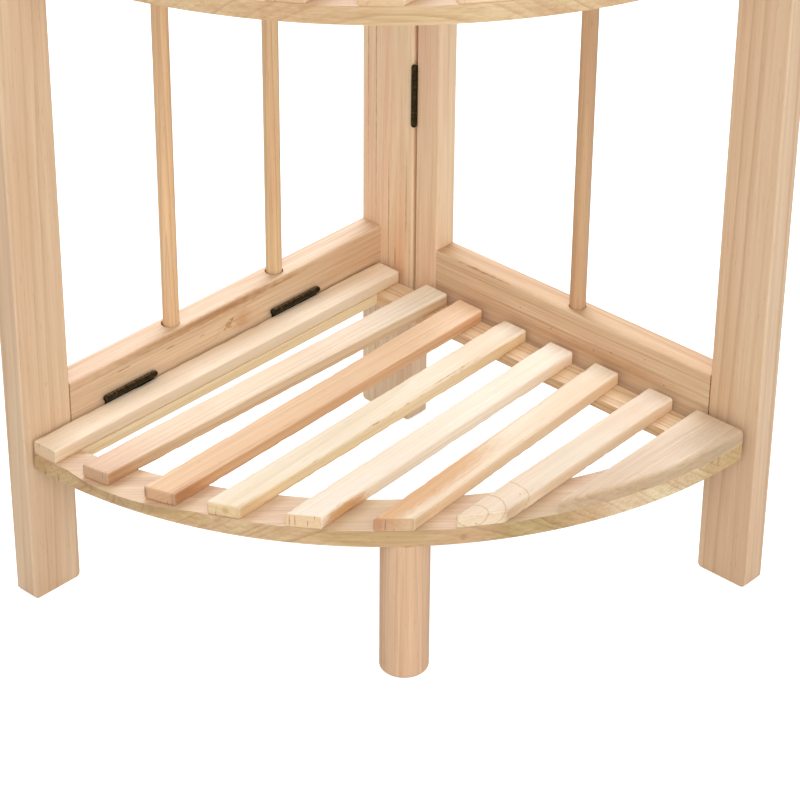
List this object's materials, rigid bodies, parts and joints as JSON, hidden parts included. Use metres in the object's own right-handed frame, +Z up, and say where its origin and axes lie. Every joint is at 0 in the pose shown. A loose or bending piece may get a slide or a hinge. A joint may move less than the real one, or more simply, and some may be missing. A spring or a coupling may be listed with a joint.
{
  "type": "corner shelf",
  "caption": "Folding corner shelf in pine: side frames hinged at the back corner carry slatted, curved-front shelves that fold up against the left frame.",
  "frame": {"origin": "centre of the square footprint, on the floor", "axes": "+Z up; +X along the right frame, away from the back corner; -Y along the left frame, away from the back corner, so the back corner is at -X, +Y"},
  "size_m": [0.33, 0.33, 1.1],
  "materials": {
    "frame_pine": "planed, unfinished",
    "rail_pine": "planed, unfinished",
    "rod_pine": "turned, unfinished",
    "cream_pine": "planed, unfinished",
    "pale_pine": "planed, unfinished",
    "orange_pine": "planed, unfinished",
    "peach_pine": "planed, unfinished",
    "rim_pine": "planed, unfinished",
    "hinge_bronze": "dark bronze",
    "screw_steel": "zinc plated"
  },
  "bodies": {
    "frames": {"left_inner_stile": "frame_pine", "corner_board": "frame_pine", "left_front_post": "frame_pine", "right_inner_stile": "frame_pine", "right_front_post": "frame_pine", "left_bottom_rail": "rail_pine", "left_middle_rail": "rail_pine", "left_upper_rail": "rail_pine", "left_top_rail": "rail_pine", "right_bottom_rail": "rail_pine", "right_middle_rail": "rail_pine", "right_upper_rail": "rail_pine", "right_top_rail": "rail_pine", "left_rods": "rod_pine", "right_rods": "rod_pine", "left_frame_dowels": "rod_pine", "right_frame_dowels": "rod_pine", "shelf_pegs": "rod_pine", "corner_hinge_board_leaves": "hinge_bronze", "corner_hinge_stile_leaves": "hinge_bronze", "corner_hinge_pins": "hinge_bronze", "shelf_hinge_rail_leaves": "hinge_bronze", "shelf_hinge_pins": "hinge_bronze", "frame_hinge_screws": "hinge_bronze", "corner_board_screws": "screw_steel"},
    "bottom_shelf": {"bottom_slat_1": "cream_pine", "bottom_slat_2": "pale_pine", "bottom_slat_3": "orange_pine", "bottom_slat_4": "cream_pine", "bottom_slat_5": "pale_pine", "bottom_slat_6": "peach_pine", "bottom_slat_7": "cream_pine", "bottom_bow_slat": "peach_pine", "bottom_rim": "rim_pine", "bottom_left_batten": "rod_pine", "bottom_right_batten": "rod_pine", "bottom_hinge_leaves": "hinge_bronze", "bottom_shelf_screws": "screw_steel", "front_leg": "rod_pine", "leg_bolt": "screw_steel"},
    "middle_shelf": {"middle_slats": "cream_pine", "middle_bow_slat": "peach_pine", "middle_rim": "rim_pine", "middle_left_batten": "rod_pine", "middle_right_batten": "rod_pine", "middle_hinge_leaves": "hinge_bronze", "middle_shelf_screws": "screw_steel"},
    "top_shelf": {"top_slats": "cream_pine", "top_bow_slat": "peach_pine", "top_rim": "rim_pine", "top_left_batten": "rod_pine", "top_right_batten": "rod_pine", "top_hinge_leaves": "hinge_bronze", "top_shelf_screws": "screw_steel"}
  },
  "joints": [
    {"name": "bottom_shelf_fold", "type": "hinge", "parent": "frames", "child": "bottom_shelf", "pos_m": [-0.14585, -0.0065, 0.1193], "axis": [0, -1, 0], "range_deg": [0, 90]},
    {"name": "middle_shelf_fold", "type": "hinge", "parent": "frames", "child": "middle_shelf", "pos_m": [-0.14585, -0.0065, 0.4513], "axis": [0, -1, 0], "range_deg": [0, 90]},
    {"name": "top_shelf_fold", "type": "hinge", "parent": "frames", "child": "top_shelf", "pos_m": [-0.14585, -0.0065, 0.7833], "axis": [0, -1, 0], "range_deg": [0, 90]}
  ]
}
